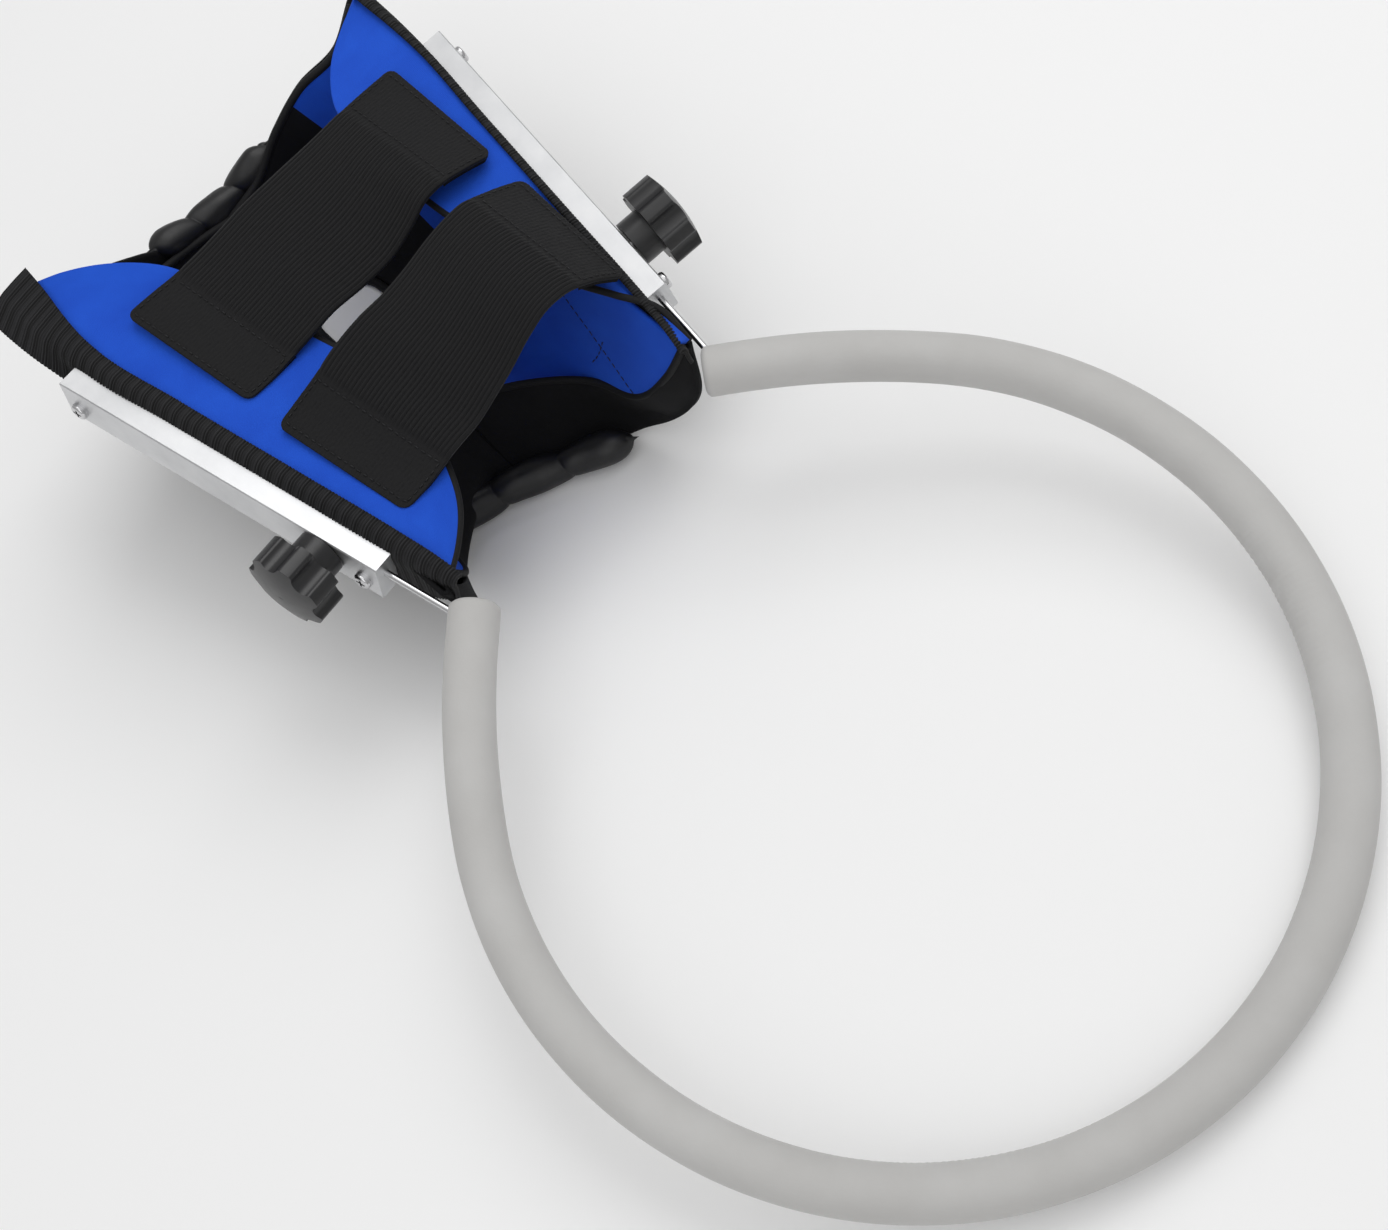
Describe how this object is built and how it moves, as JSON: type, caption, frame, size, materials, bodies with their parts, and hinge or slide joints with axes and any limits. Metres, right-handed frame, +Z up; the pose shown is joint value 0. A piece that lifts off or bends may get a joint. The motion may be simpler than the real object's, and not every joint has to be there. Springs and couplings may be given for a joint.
{
  "type": "bumper hoop harness",
  "caption": "Chest sling with ribbed hook-and-loop straps between two clamp rails that hold the rod legs of a padded hoop, worn by a sight-impaired dog so the hoop meets walls first.",
  "frame": {"origin": "middle of the base of the whole harness's box, on the surface it rests on", "axes": "+X forward from the sling to the hoop's nose, +Y to the wearer's left, +Z up"},
  "size_m": [0.7258, 0.4128, 0.1461],
  "materials": {
    "foam": "matte",
    "steel": "polished",
    "plate_steel": "satin",
    "rail_alu": "satin",
    "knob_plastic": "satin",
    "pad_nylon": "matte",
    "webbing": "matte",
    "neoprene_blue": "matte",
    "neoprene_black": "matte",
    "padded_black": "satin",
    "elastic": "matte",
    "hook_patch": "matte"
  },
  "bodies": {
    "hoop": {"foam_hoop": "foam", "hoop_rod": "steel"},
    "sling": {"sling_shell": "neoprene_black", "sling_lining": "neoprene_blue", "front_roll": "padded_black", "rear_roll": "padded_black", "flap_left": "neoprene_blue", "flap_right": "neoprene_blue", "leg_rim_left": "padded_black", "leg_rim_right": "padded_black", "strap_rear_anchor": "elastic", "strap_front_anchor": "elastic", "strap_rear_sewn_patch": "hook_patch", "strap_front_sewn_patch": "hook_patch"},
    "rail_left": {"rail_left": "rail_alu", "backing_plate_left": "plate_steel", "rail_screws_left": "steel", "rail_nuts_left": "steel", "webbing_left": "webbing"},
    "pad_left": {"clamp_pad_left": "pad_nylon"},
    "knob_left": {"knob_stud_left": "steel", "star_knob_left": "knob_plastic"},
    "rail_right": {"rail_right": "rail_alu", "backing_plate_right": "plate_steel", "rail_screws_right": "steel", "rail_nuts_right": "steel", "webbing_right": "webbing"},
    "pad_right": {"clamp_pad_right": "pad_nylon"},
    "knob_right": {"knob_stud_right": "steel", "star_knob_right": "knob_plastic"},
    "strap_rear": {"strap_rear": "elastic", "strap_rear_hook_patch": "hook_patch"},
    "strap_front": {"strap_front": "elastic", "strap_front_hook_patch": "hook_patch"}
  },
  "joints": [
    {"name": "hoop_reach", "type": "slide", "parent": "hoop", "child": "sling", "axis": [-0.9848, 0, 0.1736], "range_m": [0, 0.06]},
    {"name": "rail_left_spread", "type": "slide", "parent": "sling", "child": "rail_left", "axis": [0, 1, 0], "range_m": [0, 0.0106]},
    {"name": "pad_left_press", "type": "slide", "parent": "rail_left", "child": "pad_left", "axis": [0.1986, 0.9698, 0.1413], "range_m": [0, 0.003]},
    {"name": "knob_left_turn", "type": "hinge", "parent": "pad_left", "child": "knob_left", "pos_m": [-0.10948, 0.1024, 0.09359], "axis": [0.1986, 0.9698, 0.1413], "range_deg": [0, 1080]},
    {"name": "rail_right_spread", "type": "slide", "parent": "sling", "child": "rail_right", "axis": [0, -1, 0], "range_m": [0, 0.0106]},
    {"name": "pad_right_press", "type": "slide", "parent": "rail_right", "child": "pad_right", "axis": [0.1986, -0.9698, 0.1413], "range_m": [0, 0.003]},
    {"name": "knob_right_turn", "type": "hinge", "parent": "pad_right", "child": "knob_right", "pos_m": [-0.10948, -0.1024, 0.09359], "axis": [0.1986, -0.9698, 0.1413], "range_deg": [0, 1080]},
    {"name": "strap_rear_open", "type": "hinge", "parent": "sling", "child": "strap_rear", "pos_m": [-0.22727, -0.05185, 0.13111], "axis": [0.9848, 0, -0.1736], "range_deg": [0, 110]},
    {"name": "strap_front_open", "type": "hinge", "parent": "sling", "child": "strap_front", "pos_m": [-0.12485, -0.04685, 0.11306], "axis": [0.9848, 0, -0.1736], "range_deg": [0, 110]}
  ],
  "couplings": [
    {"joint": "rail_left_spread", "follows": "hoop_reach", "ratio": 0.17633},
    {"joint": "pad_left_press", "follows": "knob_left_turn", "m_per_rad": 0.00015915},
    {"joint": "rail_right_spread", "follows": "hoop_reach", "ratio": 0.17633},
    {"joint": "pad_right_press", "follows": "knob_right_turn", "m_per_rad": 0.00015915}
  ]
}
